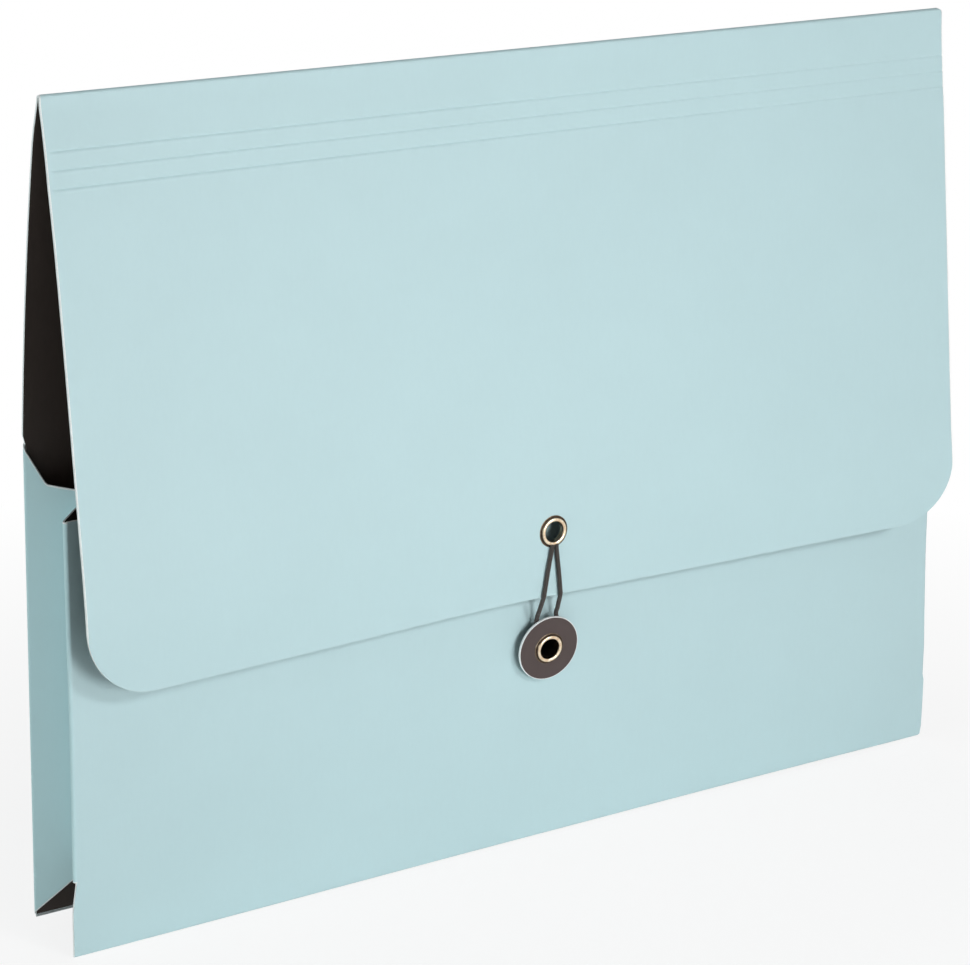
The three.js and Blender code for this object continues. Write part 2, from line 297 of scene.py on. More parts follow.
def card_shell(name, outer, inner, crush, materials):
    """A closed card wall: the outer grid, the inner grid turned to face the other way, and a strip of core
    round their shared rim. Crush moves outer points in by that share of the wall, and shows the core there.
    Face materials are 0 outside, 1 inside and 2 on the cut edge."""
    rows, columns = outer.shape[:2]
    count = rows * columns
    outer = outer + (inner - outer) * crush[..., None]
    bare_row = np.maximum(crush[:-1], crush[1:])
    bare = np.maximum(bare_row[:, :-1], bare_row[:, 1:])
    front = grid_quads(rows, columns)
    back = grid_quads(rows, columns, count)[:, ::-1]
    top = np.arange(columns)
    side = np.arange(rows) * columns
    rim = np.concatenate([top, side[1:] + columns - 1, top[::-1][1:] + side[-1], side[::-1][1:]])
    edge = np.stack([rim[:-1], rim[1:], rim[1:] + count, rim[:-1] + count], axis=-1)
    quads = np.concatenate([front, back, edge])
    face_slots = np.where(bare.ravel() > 0, 2, 0)
    slots = np.concatenate([face_slots, np.full(len(back), 1), np.full(len(edge), 2)])
    points = np.concatenate([outer.reshape(-1, 3), inner.reshape(-1, 3)])
    piece = mesh_object(name, points, quads, slots, materials)
    piece.data.set_sharp_from_angle(angle=math.radians(CARD_SHARP))
    return piece


def wall_offset(first, second, wall):
    """A path of pairs moved to its right by the wall, mitred: the two neighbouring normals are added and
    divided by one plus the cosine between their directions."""
    step = np.stack([np.diff(first, axis=0), np.diff(second, axis=0)], axis=-1)
    step /= np.maximum(np.linalg.norm(step, axis=-1, keepdims=True), 1e-9)
    before = np.concatenate([step[:1], step])
    after = np.concatenate([step, step[-1:]])
    mitre = wall / (1.0 + (before * after).sum(axis=-1))
    total = before + after
    return first + total[..., 1] * mitre, second - total[..., 0] * mitre


def arc(centre, radius, start, end, count):
    """Points on a circle from one angle in degrees to another, both ends included."""
    angle = np.radians(np.linspace(start, end, count))
    return centre[0] + radius * np.cos(angle), centre[1] + radius * np.sin(angle)


# Card sheet


def flap_y(x, z):
    """Front face of the flap: a straight lean below the scores, drawn in towards its edge by the elastic,
    and in again round the closure, less a bow that grows below the fold and dies away from the left side,
    and a curl at each lower corner."""
    across = x / WIDTH
    root_rise = TOP_FOLD_Y - TOP_FOLD_RADIUS - FLAP_ROOT_Y
    above = np.maximum(0.0, z - LAST_SCORE_Z) / (FOLD_TOP - TOP_FOLD_RADIUS - LAST_SCORE_Z)
    leaning = FLAP_ROOT_Y + root_rise * above - FLAP_LEAN * np.maximum(0.0, LAST_SCORE_Z - z)
    pulled = ease((FLAP_EDGE_Z + PULL_HEIGHT - z) / PULL_HEIGHT)
    middle = leaning + (FLAP_CENTRE_Y - leaning) * pulled
    near_edge = ease((FLAP_EDGE_Z + CURL_HEIGHT - z) / CURL_HEIGHT)
    below_fold = np.maximum(0.0, FOLD_TOP - LEFT_BOW_START - z)
    bow = LEFT_BOW * (1.0 - np.exp(-below_fold / LEFT_BOW_REACH)) + LEFT_CURL * near_edge
    held = CLOSURE_DENT * bell(x, EYELET_X, DENT_REACH) * ease((DENT_TOP - z) / DENT_FADE)
    curl = RIGHT_CURL * near_edge * across**RIGHT_CURL_POWER
    return middle + held - bow * (1.0 - across) ** LEFT_BOW_POWER - curl


def flap_edge(x):
    """Lower edge of the flap: nearly level, arched a little about the closure, with a quarter circle at
    each end."""
    inward = np.minimum(x - EDGE_INSET, WIDTH - EDGE_INSET - x)
    past = np.maximum(0.0, FLAP_CORNER - inward)
    arched = EDGE_RISE * ease(x / EDGE_RISE_WIDTH) + EDGE_ARCH * bell(x, EDGE_ARCH_X, EDGE_ARCH_REACH)
    return FLAP_EDGE_Z + arched + FLAP_CORNER - np.sqrt(np.maximum(0.0, FLAP_CORNER**2 - past**2))


def sheet_columns():
    """Places across the sheet: squared spacing towards each side, even between."""
    side = FLAP_CORNER * np.linspace(0.0, 1.0, CORNER_COLUMNS) ** 2
    span = WIDTH - 2 * EDGE_INSET
    middle = np.linspace(FLAP_CORNER, span - FLAP_CORNER, MIDDLE_COLUMNS)[1:-1]
    return EDGE_INSET + np.concatenate([side, middle, (span - side)[::-1]])


def score_relief(x, z):
    """Depth of the pressed score lines: a narrow groove at each line with a low swell under it, which
    starts a little in from the left side and grows fainter to the right."""
    relief = np.zeros_like(z)
    for i in range(SCORE_COUNT):
        line = FOLD_TOP - SCORE_FIRST - SCORE_PITCH * i
        relief += SCORE_DEPTH * bell(z, line, SCORE_REACH)
        relief -= SWELL_HEIGHT * bell(z, line - SWELL_DROP, SWELL_REACH)
    started = ease((x - EDGE_INSET - SCORE_INSET) / SCORE_START_WIDTH)
    faded = SCORE_FADE * ease((x / WIDTH - SCORE_FADE_START) / SCORE_FADE_WIDTH)
    return relief * started * (1.0 - faded)


def flap_path(x):
    """The flap's outer face at every column, as rows of y and z from its lower edge up to the top fold,
    with close rows at the edge and over the score lines."""
    ones = np.ones_like(x)
    edge = flap_edge(x)
    score_low = LAST_SCORE_Z - SCORE_ROOM_BELOW
    score_high = FOLD_TOP - SCORE_FIRST + SCORE_ROOM_ABOVE
    at_edge = EDGE_STEPS / (score_low - FLAP_EDGE_Z)
    up_flap = np.concatenate([at_edge, np.linspace(0.012, 1.0, FLAP_ROWS, endpoint=False)])
    z_flap = edge + (score_low - edge) * up_flap[:, None]
    z_score = np.linspace(score_low, score_high, SCORE_ROWS)[:, None] * ones
    z_root = np.linspace(score_high, FOLD_TOP - TOP_FOLD_RADIUS, ROOT_ROWS)[1:-1, None] * ones
    z = np.concatenate([z_flap, z_score, z_root])
    return flap_y(x, z) + score_relief(x, z), z


def back_path():
    """Outer face over the top fold and down the back: half a circle, then a curve of the second degree to
    the bend, its three points weighed by (1 - t) squared, 2t(1 - t) and t squared, then straight to the
    foot."""
    fold_z = FOLD_TOP - TOP_FOLD_RADIUS
    fold = arc((TOP_FOLD_Y, fold_z), TOP_FOLD_RADIUS, 180, 0, TOP_FOLD_ROWS)
    t = np.linspace(0.0, 1.0, BEND_ROWS)
    weights = ((1 - t) ** 2, 2 * t * (1 - t), t**2)
    bend_y = (TOP_FOLD_Y + TOP_FOLD_RADIUS + BACK_BEND_TOP[0], BACK_BEND[0], DEPTH_GUSSET)
    bend_z = (fold_z - BACK_BEND_TOP[1], BACK_BEND[1], BEND_START)
    curve = [sum(a * b for a, b in zip(weights, bend)) for bend in (bend_y, bend_z)]
    down = np.linspace(0.0, 1.0, BACK_ROWS)[1:-1]
    straight_y = DEPTH_GUSSET + (DEPTH_BASE - DEPTH_GUSSET) * down
    straight_z = BEND_START + (FOLD_RADIUS - BEND_START) * down
    return np.concatenate([fold, curve, [straight_y, straight_z]], axis=1)


def bottom_path():
    """Outer face of the bottom gusset: round the back's foot to a few degrees short of its slope, straight
    up to the crest, and the same again mirrored down to the front's foot."""
    slope = math.degrees(math.atan2(DEPTH_BASE / 2 - FOLD_RADIUS, BOTTOM_CREST - FOLD_RADIUS))
    arc_end = slope - 180 + FOOT_ARC_SHORT
    foot_y, foot_z = arc((DEPTH_BASE - FOLD_RADIUS, FOLD_RADIUS), FOLD_RADIUS, 0, arc_end, FOOT_ROWS)
    rising = np.linspace(0.0, 1.0, CREST_ROWS)[1:]
    half_y = np.concatenate([foot_y, foot_y[-1] + (DEPTH_BASE / 2 - foot_y[-1]) * rising])
    half_z = np.concatenate([foot_z, foot_z[-1] + (BOTTOM_CREST - foot_z[-1]) * rising])
    return np.stack([np.concatenate([half_y, DEPTH_BASE - half_y[::-1][1:]]),
                     np.concatenate([half_z, half_z[::-1][1:]])])


def front_path():
    """Outer face of the front panel, straight up from its foot, with close rows at its upper edge."""
    rise = FRONT_HEIGHT - FOLD_RADIUS
    up = np.concatenate([np.linspace(0.0, 0.99, FRONT_ROWS)[1:], 1.0 - EDGE_STEPS[::-1] / rise])
    return np.stack([0.0 * up, FOLD_RADIUS + rise * up])


def sheet_path(x):
    """The card's outer face across the folder, as rows of y and z for every column: up the flap, over the
    top fold, down the back, up and down the bottom gusset and up the front panel."""
    flap_rows_y, flap_rows_z = flap_path(x)
    level_y, level_z = np.concatenate([back_path(), bottom_path(), front_path()], axis=1)
    ones = np.ones_like(x)
    return (np.concatenate([flap_rows_y, level_y[:, None] * ones]),
            np.concatenate([flap_rows_z, level_z[:, None] * ones]))


def corner_easing(height, radius):
    """Side inset of a corner rounded to a radius, at a height above the level that it is rounded from."""
    past = np.clip(radius - height, 0.0, radius)
    return radius - np.sqrt(np.maximum(0.0, radius**2 - past**2))


def panel_side_inset(y, z, past_fold, right):
    """How far the sheet's side edge stands in from its cut line. Folded stretches make room for the
    gusset's round fold, the back stands out a little above its gusset, the front's lower left edge flares
    towards the corner, the flap's right side drifts outwards, and the corners are eased."""
    on_front = past_fold & (y < FRONT_FACE_Y)
    folded_front = on_front & (z > GUSSET_FRONT[0]) & (z < FRONT_HEIGHT + 1)
    folded_back = past_fold & (y > DEPTH_BASE / 2) & (z < GUSSET_REAR[1]) & (z > GUSSET_REAR[0] + 1.0)
    inset = np.where(folded_front | folded_back, FOLD_RADIUS - EDGE_INSET, 0.0)
    drop = FOLD_TOP - z
    over = past_fold & (y > TOP_FOLD_Y) & (z >= GUSSET_REAR[1])
    inset = inset - np.where(over, BACK_OVERHANG * ease(drop / BACK_OVERHANG_DROP), 0.0)
    lower_edge = on_front & ~folded_front
    left_cut = -CORNER_FLARE * ease((GUSSET_FRONT[0] - z) / CORNER_FLARE_HEIGHT)
    right_cut = corner_easing(z, FOOT_CORNER) - EDGE_INSET
    inset = inset + np.where(lower_edge, np.where(right, right_cut, left_cut), 0.0)
    flap_right = FLAP_RIGHT_INSET - FLAP_RIGHT_DRIFT * ease((drop - FLAP_DRIFT_START) / FLAP_DRIFT_HEIGHT)
    inset = inset + np.where(right & ~past_fold, flap_right, 0.0)
    eased_left = corner_easing(drop, TOP_CORNER_LEFT)
    eased_right = corner_easing(drop, TOP_CORNER_RIGHT)
    return inset + np.where(right, eased_right, eased_left)


def front_shift(across, y, z):
    """How far the front stands back from flat, with across from 0 at its left side to 1 at its right: the
    left side bellies forward, and the right side leans back at the top and forward at the foot. Each side's
    heights are joined by straight lines. It fades to nothing at the crest of the bottom gusset."""
    near_left = ease((FLAT_SHARE - across) / FLAT_SHARE)
    near_right = ease((across - FLAT_SHARE) / (1.0 - FLAT_SHARE))
    left = np.interp(z, LEFT_SHIFT_Z, LEFT_SHIFT)
    right = np.interp(z, RIGHT_SHIFT_Z, RIGHT_SHIFT)
    return (left * near_left + right * near_right) * np.clip(1.0 - 2.0 * y / DEPTH_BASE, 0.0, 1.0)


def foot_lift(x, y, z):
    """How far the lower edges stand off level: the front's sits low, lowest at its left corner and higher
    at its right one, and the back's left corner is lifted. It fades upwards, and towards the bottom
    gusset's crest."""
    near_left = ease((FRONT_SETTLE_WIDTH - x) / FRONT_SETTLE_WIDTH)
    settled = FRONT_SETTLE * (FRONT_SETTLE_LEAST + (1.0 - FRONT_SETTLE_LEAST) * near_left)
    front = FRONT_RISE * ease((x - FRONT_RISE_X) / FRONT_RISE_WIDTH) - settled
    back = BACK_LIFT * ease((BACK_LIFT_END_X - x) / BACK_LIFT_WIDTH)
    near_foot = np.clip(1.0 - z / FOOT_LIFT_HEIGHT, 0.0, 1.0)
    from_crest = np.minimum(np.abs(2.0 * y / DEPTH_BASE - 1.0), 1.0)
    return np.where(y < DEPTH_BASE / 2, front, back) * near_foot * from_crest


def sheet_crush(y, z, before_fold):
    """Share of the wall that the sheet's cut edges are crushed in: along the flap's lower edge, the front's
    upper edge, and down both sides wherever the card isn't folded on into a gusset."""
    crush = np.zeros_like(z)
    steps = len(EDGE_STEPS)
    crush[:steps] = EDGE_CRUSH[:, None]
    crush[-steps:] = EDGE_CRUSH[::-1][:, None]
    column = np.arange(z.shape[1])
    from_side = np.minimum(column, column[::-1])
    side = np.interp(from_side, np.arange(len(SIDE_CRUSH)), SIDE_CRUSH)
    free = before_fold | ((y > TOP_FOLD_Y) & (z > GUSSET_REAR[1]))
    return np.maximum(crush, np.where(free, side, 0.0))


def card_ripple(x, z):
    """Slow unevenness of a hand-folded card, a tenth or two of a millimetre deep: two crossed sine waves,
    and one that runs aslant."""
    crossed = RIPPLE * np.sin(x / RIPPLE_RADIAN_X + RIPPLE_START) * np.sin(z / RIPPLE_RADIAN_Z)
    return crossed + SLANT_RIPPLE * np.sin(x / SLANT_RADIAN_X + z / SLANT_RADIAN_Z)


def folded_card(materials):
    """The one folded sheet: its side path at every column, moved by the wall's thickness for the inner
    face. The ripple dies away at the sides, the foot and the top fold."""
    x = sheet_columns()
    y, z = sheet_path(x)
    inner_y, inner_z = wall_offset(y, z, CARD)
    rows = np.arange(len(y))[:, None] * np.ones_like(x)
    top_row = int(np.argmax(z[:, 0]))
    past_fold = rows > top_row
    across = x / WIDTH
    from_middle = 2.0 * across - 1.0
    to_side = np.clip((np.abs(from_middle) - SIDE_BAND_START) / SIDE_BAND, 0.0, 1.0)
    place = x - np.sign(from_middle) * panel_side_inset(y, z, past_fold, from_middle > 0) * to_side
    quiet_sides = np.clip((1.0 - np.abs(from_middle)) * RIPPLE_SIDE_RATE, 0.0, 1.0)
    quiet_foot = np.clip(z / RIPPLE_FADE, 0.0, 1.0)
    quiet_top = np.clip((FOLD_TOP - z) / RIPPLE_FADE, 0.0, 1.0)
    ripple = card_ripple(x, z) * quiet_sides * quiet_foot * quiet_top
    shift = ripple + np.where(past_fold, front_shift(across, y, z), 0.0)
    lift = np.where(past_fold, foot_lift(x, y, z), 0.0)
    outer = np.stack([place, y + shift, z + lift], axis=-1)
    inner = np.stack([place, inner_y + shift, inner_z + lift], axis=-1)
    piece = card_shell("folded_card_sheet", outer, inner, sheet_crush(y, z, rows < top_row), materials)
    cut_away(piece, [
        end_block(-BOTTOM_CUT_ROOM, BOTTOM_CUT_BACK, materials),
        end_block(WIDTH - BOTTOM_CUT_BACK, WIDTH + BOTTOM_CUT_ROOM, materials),
        hole_block(EYELET_BORE + EYELET_HOLE_ROOM, EYELET_HOLE_LENGTH, eyelet_place(), materials),
        hole_block(RIVET_BORE + RIVET_HOLE_ROOM, 4 * BUTTON_STAND, button_place(), materials),
    ])
    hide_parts("folded_card")


def end_block(from_x, to_x, finishes):
    """The space cut out of the bottom gusset at one end: a block as deep as the pocket, past the crest."""
    top = BOTTOM_CREST + BOTTOM_CUT_ROOM
    lean = (DEPTH_BASE - DEPTH_GUSSET) / BEND_START
    front = CARD + BOTTOM_CUT_FRONT
    rear = DEPTH_BASE - CARD
    under = -BOTTOM_CUT_ROOM
    section = np.array([[front, under], [rear, under], [rear - lean * top, top], [front, top]])
    ends = [np.column_stack([np.full(4, x), section]) for x in (from_x, to_x)]
    sides = grid_quads(2, 4, close_columns=True)[:, ::-1]
    quads = np.concatenate([sides, [[3, 2, 1, 0], [4, 5, 6, 7]]])
    return tool_mesh("end_tool", np.concatenate(ends), quads, finishes)


def hole_block(radius, length, matrix, finishes):
    """A round cutter along the closure's axis: two rings of points joined by a side and closed by faces."""
    angle = np.linspace(0.0, 2 * np.pi, HOLE_SIDES, endpoint=False)
    ring = np.stack([radius * np.cos(angle), 0 * angle, radius * np.sin(angle)], axis=-1)
    points = np.concatenate([ring - (0, length / 2, 0), ring + (0, length / 2, 0)])
    sides = grid_quads(2, HOLE_SIDES, close_columns=True)
    return tool_mesh("hole_tool", turn(points, matrix), sides, finishes, caps=HOLE_SIDES)


def tool_mesh(name, points, quads, finishes, caps=0):
    """A throw-away cutter that a boolean modifier uses once, and whose cut shows the card's core."""
    faces = [tuple(int(i) for i in face) for face in quads]
    if caps:
        faces += [tuple(range(caps)), tuple(range(2 * caps - 1, caps - 1, -1))]
    mesh = bpy.data.meshes.new(name)
    mesh.from_pydata([tuple(p) for p in to_frame(points)], [], faces)
    for material in finishes:
        mesh.materials.append(material)
    mesh.polygons.foreach_set("material_index", np.full(len(faces), 2, np.int32))
    mesh.update()
    tool = bpy.data.objects.new(name, mesh)
    bpy.context.scene.collection.objects.link(tool)
    return tool


def cut_away(piece, tools):
    """Cuts each tool out of the piece and keeps the result as the piece's own mesh."""
    for tool in tools:
        modifier = piece.modifiers.new("cut", "BOOLEAN")
        modifier.operation = "DIFFERENCE"
        modifier.solver = "EXACT"
        modifier.object = tool
    graph = bpy.context.evaluated_depsgraph_get()
    graph.update()
    made = bpy.data.meshes.new_from_object(piece.evaluated_get(graph))
    old = piece.data
    piece.modifiers.clear()
    piece.data = made
    bpy.data.meshes.remove(old)
    for tool in tools:
        bpy.data.meshes.remove(tool.data)


# Closure places


def turn(points, matrix):
    """Points carried by a four by four matrix."""
    matrix = np.array(matrix)
    return np.asarray(points) @ matrix[:3, :3].T + matrix[:3, 3]


def flap_face(x, z):
    """The flap's front face at one place, as a plain number."""
    return float(flap_y(np.float64(x), z))


def eyelet_place():
    """Where the flap's eyelet sits: upright, on the flap's front face."""
    return Matrix.Translation((EYELET_X, flap_face(EYELET_X, EYELET_Z), EYELET_Z))


def button_place():
    """Where the button sits: stood off the front panel on its neck, tilted and twisted a little."""
    tilt = Matrix.Rotation(math.radians(BUTTON_TILT), 4, "X")
    twist = Matrix.Rotation(math.radians(BUTTON_TWIST), 4, "Z")
    return Matrix.Translation((BUTTON_X, -BUTTON_STAND, BUTTON_Z)) @ twist @ tilt


# Gussets


def gusset_outline(depth):
    """A gusset seen from above: a short stretch inside the front panel, a round fold, the half that runs in
    to the crease with a slight bulge, then the same again to the back panel. Returns x and y rows."""
    crease = math.sqrt(GUSSET_HALF**2 - (depth / 2) ** 2)
    slope = math.degrees(math.atan2(depth / 2 - FOLD_RADIUS, crease - FOLD_RADIUS))
    fold_x, fold_y = arc((FOLD_RADIUS, FOLD_RADIUS), FOLD_RADIUS, -90, slope - 270, GUSSET_FOLD_COLUMNS)
    run = np.linspace(0.0, 1.0, GUSSET_HALF_COLUMNS)[1:]
    swell = GUSSET_BULGE * np.sin(np.pi * run)
    half_x = fold_x[-1] + (crease - fold_x[-1]) * run - swell * math.sin(math.radians(slope))
    half_y = fold_y[-1] + (depth / 2 - fold_y[-1]) * run + swell * math.cos(math.radians(slope))
    front_x = np.concatenate([GUSSET_TAB_X, fold_x, half_x])
    front_y = np.concatenate([GUSSET_TAB_Y, fold_y, half_y])
    return (np.concatenate([front_x, front_x[::-1][1:]]),
            np.concatenate([front_y, depth - front_y[::-1][1:]]))


def side_gusset(name, node, mirror, materials):
    """One pleated side strip: its outline at the base and at the bend, joined by straight lines, between a
    lower and an upper edge that slope along the strip."""
    base_x, base_y = gusset_outline(DEPTH_BASE)
    upper_x, upper_y = gusset_outline(DEPTH_GUSSET)
    along = np.concatenate([[0.0], np.cumsum(np.hypot(np.diff(base_x), np.diff(base_y)))])
    along -= along[int(np.argmax(base_x))]
    lower = np.interp(along, [-GUSSET_HALF, 0.0, GUSSET_HALF],
                      [GUSSET_FRONT[0], GUSSET_CREASE[0], GUSSET_REAR[0]])
    upper = np.interp(along, [-GUSSET_HALF, 0.0, GUSSET_HALF - GUSSET_CHAMFER[0], GUSSET_HALF],
                      [GUSSET_FRONT[1], GUSSET_CREASE[1], GUSSET_CHAMFER[1], GUSSET_REAR[1]])
    inward = GUSSET_STEP_SCALE * EDGE_STEPS / (GUSSET_CREASE[1] - GUSSET_CREASE[0])
    t = np.concatenate([inward, np.linspace(0.006, 0.994, GUSSET_ROWS), 1.0 - inward[::-1]])[:, None]
    crush = np.concatenate([GUSSET_CRUSH, np.zeros(GUSSET_ROWS), GUSSET_CRUSH[::-1]])[:, None]
    z = lower + (upper - lower) * t
    share = z / BEND_START
    x = base_x + (upper_x - base_x) * share
    y = base_y + (upper_y - base_y) * share
    y = y + front_shift(1.0 if mirror else 0.0, y, z)
    inner_x, inner_y = wall_offset(x.T, y.T, GUSSET_WALL)
    outer = np.stack([x, y, z], axis=-1)
    inner = np.stack([inner_x.T, inner_y.T, z], axis=-1)
    if mirror:
        outer[..., 0] = WIDTH - outer[..., 0]
        inner[..., 0] = WIDTH - inner[..., 0]
        outer = outer[:, ::-1]
        inner = inner[:, ::-1]
    piece = card_shell(name, outer, inner, crush * np.ones_like(base_x), materials)
    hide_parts(node)


# Round fittings


def turned_piece(name, outline, matrix, slots, materials, around):
    """A closed outline of radius and height ahead of the card, carried round the fitting's axis."""
    angle = np.linspace(0.0, 2 * np.pi, around, endpoint=False)
    radius = outline[:, 0][:, None]
    ahead = outline[:, 1][:, None]
    points = np.stack([radius * np.cos(angle), -ahead + 0 * angle, radius * np.sin(angle)], axis=-1)
    quads = grid_quads(len(outline), around, close_rows=True, close_columns=True)[:, ::-1]
    placed = turn(points.reshape(-1, 3), matrix)
    piece = mesh_object(name, placed, quads, np.repeat(slots, around), materials)
    piece.data.set_sharp_from_angle(angle=math.radians(FITTING_SHARP))
    return piece


def eyelet_outline(rim, bore, front, back):
    """Outline of an eyelet and the painted sheen of each of its points: a flat flange painted dark, as
    painted shade and a painted dark reflection round the fitting, a rolled bead round the bore with a
    painted highlight on its crest, a barrel painted darker as patina with painted shade, and a rim spread
    flat behind the card. Each place is given in millimetres from the rim, the bore or the bead's crest, and
    from the card's front or back level."""
    wall = 0.3
    bead = 0.57
    crest = bore + bead
    # Flange: painted dark, as painted shade and a painted dark reflection round the fitting
    edge = np.array([[rim - 0.08, front - 0.06], [rim, front + 0.02], [rim - 0.04, front + 0.12],
                     [rim - 0.14, front + 0.16], [crest + bead + 0.08, front + 0.14]])
    flange_painted_shade_and_reflection = [0.12, 0.3, 0.2, 0.05, 0.0]
    # Bead: a painted highlight on its crest, darker towards its sides
    roll = np.radians(np.linspace(10, 200, 26))
    lip = np.column_stack([crest + bead * np.cos(roll), front + 0.3 + 0.5 * np.sin(roll)])
    bead_painted_highlight = np.clip(1.35 * np.sin(roll) ** 2, 0.08, 1.0)
    # Barrel and the rim behind: darker, as patina with painted shade in the bore
    barrel = np.array([[bore, front - 0.4], [bore, back + 0.4]])
    barrel_patina_and_shade = [0.45, 0.3]
    spread = np.radians(np.linspace(180, 250, 6))
    flare = np.column_stack([bore + 0.5 + 0.5 * np.cos(spread), back + 0.2 + 0.5 * np.sin(spread)])
    rear = np.array([[rim - 0.5, back - wall], [rim - 0.4, back - wall / 2], [rim - 0.5, back],
                     [bore + wall, back], [bore + wall, front]])
    rear_painted_sheen = np.full(len(flare) + len(rear), 0.4)
    return (np.concatenate([edge, lip, barrel, flare, rear]),
            np.concatenate([flange_painted_shade_and_reflection, bead_painted_highlight, barrel_patina_and_shade, rear_painted_sheen]))


def eyelet(name, node, rim, bore, front, back, matrix, metal):
    """A turned metal eyelet in the place of its node, with its painted sheen (painted highlight, painted
    dark reflection and shade, and patina) kept in a point attribute.
    """
    outline, painted_sheen_and_patina = eyelet_outline(rim, bore, front, back)
    piece = turned_piece(name, outline, matrix, np.zeros(len(outline), int), [metal], EYELET_SIDES)
    # Per-point painted sheen: painted highlight on the bead, painted dark reflection and shade on the
    # flange, patina with shade in the barrel
    kept = piece.data.attributes.new("painted_sheen_and_patina", "FLOAT", "POINT")
    kept.data.foreach_set("value", np.repeat(painted_sheen_and_patina, EYELET_SIDES).astype(np.float32))
    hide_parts(node)


def button_disc(face, core):
    """The card button: two brown faces and a white cut edge, with the eased corners of a punched disc."""
    half = BUTTON_CARD / 2
    bore = RIVET_BORE + RIVET_NECK_WALL
    corner_radius = 0.14
    face_rows = 12
    radii = np.linspace(BUTTON_RADIUS - 0.32, bore, face_rows)
    front = np.column_stack([radii, half - 0.03 * (radii < bore + 0.5)])
    back = np.column_stack([radii[::-1], np.full(face_rows, -half)])
    corner = np.radians(np.linspace(-90, 90, 9))
    rim_radius = BUTTON_RADIUS - corner_radius + corner_radius * np.cos(corner)
    rim_height = np.sign(np.sin(corner)) * (half - corner_radius) + corner_radius * np.sin(corner)
    rim = np.column_stack([rim_radius, rim_height])
    face_edge = BUTTON_RADIUS - 0.22
    outline = np.concatenate([back, [[face_edge, -half]], rim, [[face_edge, half]], front])
    slots = np.zeros(len(outline), int)
    slots[face_rows:face_rows + len(rim) + 1] = 1
    slots[-1] = 1
    piece = turned_piece("card_button", outline, button_place(), slots, [face, core], DISC_SIDES)
    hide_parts("button_disc")


# Elastic


def smooth_route(points, count):
    """A smooth curve through the points: cubic in each span, with slopes from the neighbouring points,
    sampled evenly along its length. Returns the samples and how far along each one is."""
    points = np.asarray(points, float)
    padded = np.concatenate([2 * points[:1] - points[1:2], points, 2 * points[-1:] - points[-2:-1]])
    t = np.linspace(0.0, 1.0, 40, endpoint=False)[:, None, None]
    a, b, c, d = padded[:-3], padded[1:-2], padded[2:-1], padded[3:]
    squared = (2 * a - 5 * b + 4 * c - d) * t**2
    cubed = (3 * b - a - 3 * c + d) * t**3
    spans = 0.5 * (2 * b + (c - a) * t + squared + cubed)
    curve = np.concatenate([spans.transpose(1, 0, 2).reshape(-1, 3), points[-1:]])
    reach = np.concatenate([[0.0], np.cumsum(np.linalg.norm(np.diff(curve, axis=0), axis=1))])
    even = np.linspace(0.0, reach[-1], count)
    return np.column_stack([np.interp(even, reach, curve[:, i]) for i in range(3)]), even


def elastic_route():
    """The elastic's middle line: from under the eyelet's rim down the flap, over its edge, behind the
    button and round its neck, and back up the same way. Each strand's places are shares of its spread and
    of the way between two others, with a few tenths of a millimetre's clearance."""
    lift = ELASTIC_RADIUS + ELASTIC_LIFT
    turning = RIVET_BORE + RIVET_NECK_WALL + ELASTIC_RADIUS
    place = button_place()

    def on_flap(x, z):
        """A place on the flap, with the cord lying on its face."""
        return (x, flap_face(x, z) - lift, z)

    def at_button(x, up):
        """A place behind the button's disc, given across and up from its middle."""
        return tuple(turn([[x, BUTTON_CARD / 2 + BUTTON_GAP + ELASTIC_RADIUS, up]], place)[0])

    def strand(sign):
        """One of the two strands, left for a sign of -1 and right for 1, from the eyelet to the rivet."""
        edge_x = EYELET_X + EDGE_CROSSING_SHIFT
        start = EYELET_Z - EYELET_RIM + 0.9
        edge_z = float(flap_edge(np.float64(edge_x)))
        edge_y = flap_face(edge_x, edge_z) - lift
        edge = np.array([edge_x + sign * SPREAD_AT_EDGE, edge_y + 0.15, edge_z + 0.1])
        disc = np.array(at_button(sign * turning * 0.75, BUTTON_RADIUS - 0.2)) - (STRAND_LEAN, 0.0, 0.0)
        halfway_x = (EYELET_X + edge_x + sign * (SPREAD_AT_EYELET + SPREAD_AT_EDGE)) / 2
        return [
            on_flap(EYELET_X + sign * SPREAD_AT_EYELET * 0.8, start),
            on_flap(EYELET_X + sign * SPREAD_AT_EYELET, start - 1.6),
            on_flap(halfway_x, (start + edge_z) / 2),
            on_flap(edge_x + sign * SPREAD_AT_EDGE * 0.95, edge_z + 1.6),
            tuple(edge),
            tuple(edge + (disc - edge) * 0.3),
            tuple(edge + (disc - edge) * 0.65),
            tuple(disc),
            at_button(sign * turning * 0.98, 4.5),
        ]

    round_rivet = [at_button(-turning * math.cos(a), -turning * math.sin(a))
                   for a in np.radians(np.arange(0, 181, 30))]
    return strand(-1) + round_rivet + strand(1)[::-1]


